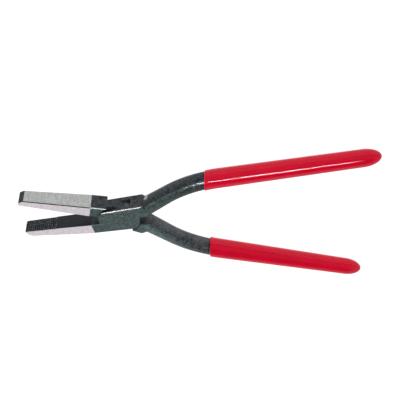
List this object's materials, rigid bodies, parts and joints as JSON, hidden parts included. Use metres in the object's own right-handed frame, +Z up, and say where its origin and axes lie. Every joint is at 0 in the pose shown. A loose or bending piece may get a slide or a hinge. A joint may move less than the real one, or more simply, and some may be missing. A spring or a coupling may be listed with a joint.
{
  "type": "flat jaw pliers",
  "caption": "Box-joint pliers with long flat tapered jaws, fine cross-cut teeth near the tips, blackened shanks and dipped plastic grips.",
  "frame": {"origin": "where the pivot axis meets the underside of the joint block", "axes": "+Z up along the pivot axis, square to the flat faces; +X from the pivot towards the handles, along the line midway between them; +Y the way the inner half's jaw opens"},
  "size_m": [0.2158, 0.123, 0.0127],
  "materials": {
    "forged_steel": "blackened forged steel, ground bright on the outsides of the jaws",
    "rivet_steel": "blackened, ground flush with the joint",
    "grip_plastic": "glossy red dipped vinyl"
  },
  "bodies": {
    "outer_half": {"outer_half_forging": "forged_steel", "rivet": "rivet_steel", "outer_grip": "grip_plastic"},
    "inner_half": {"inner_half_forging": "forged_steel", "inner_grip": "grip_plastic"}
  },
  "joints": [
    {"name": "pivot", "type": "hinge", "parent": "outer_half", "child": "inner_half", "pos_m": [0, 0, 0], "axis": [0, 0, 1], "range_deg": [-12, 25]}
  ]
}
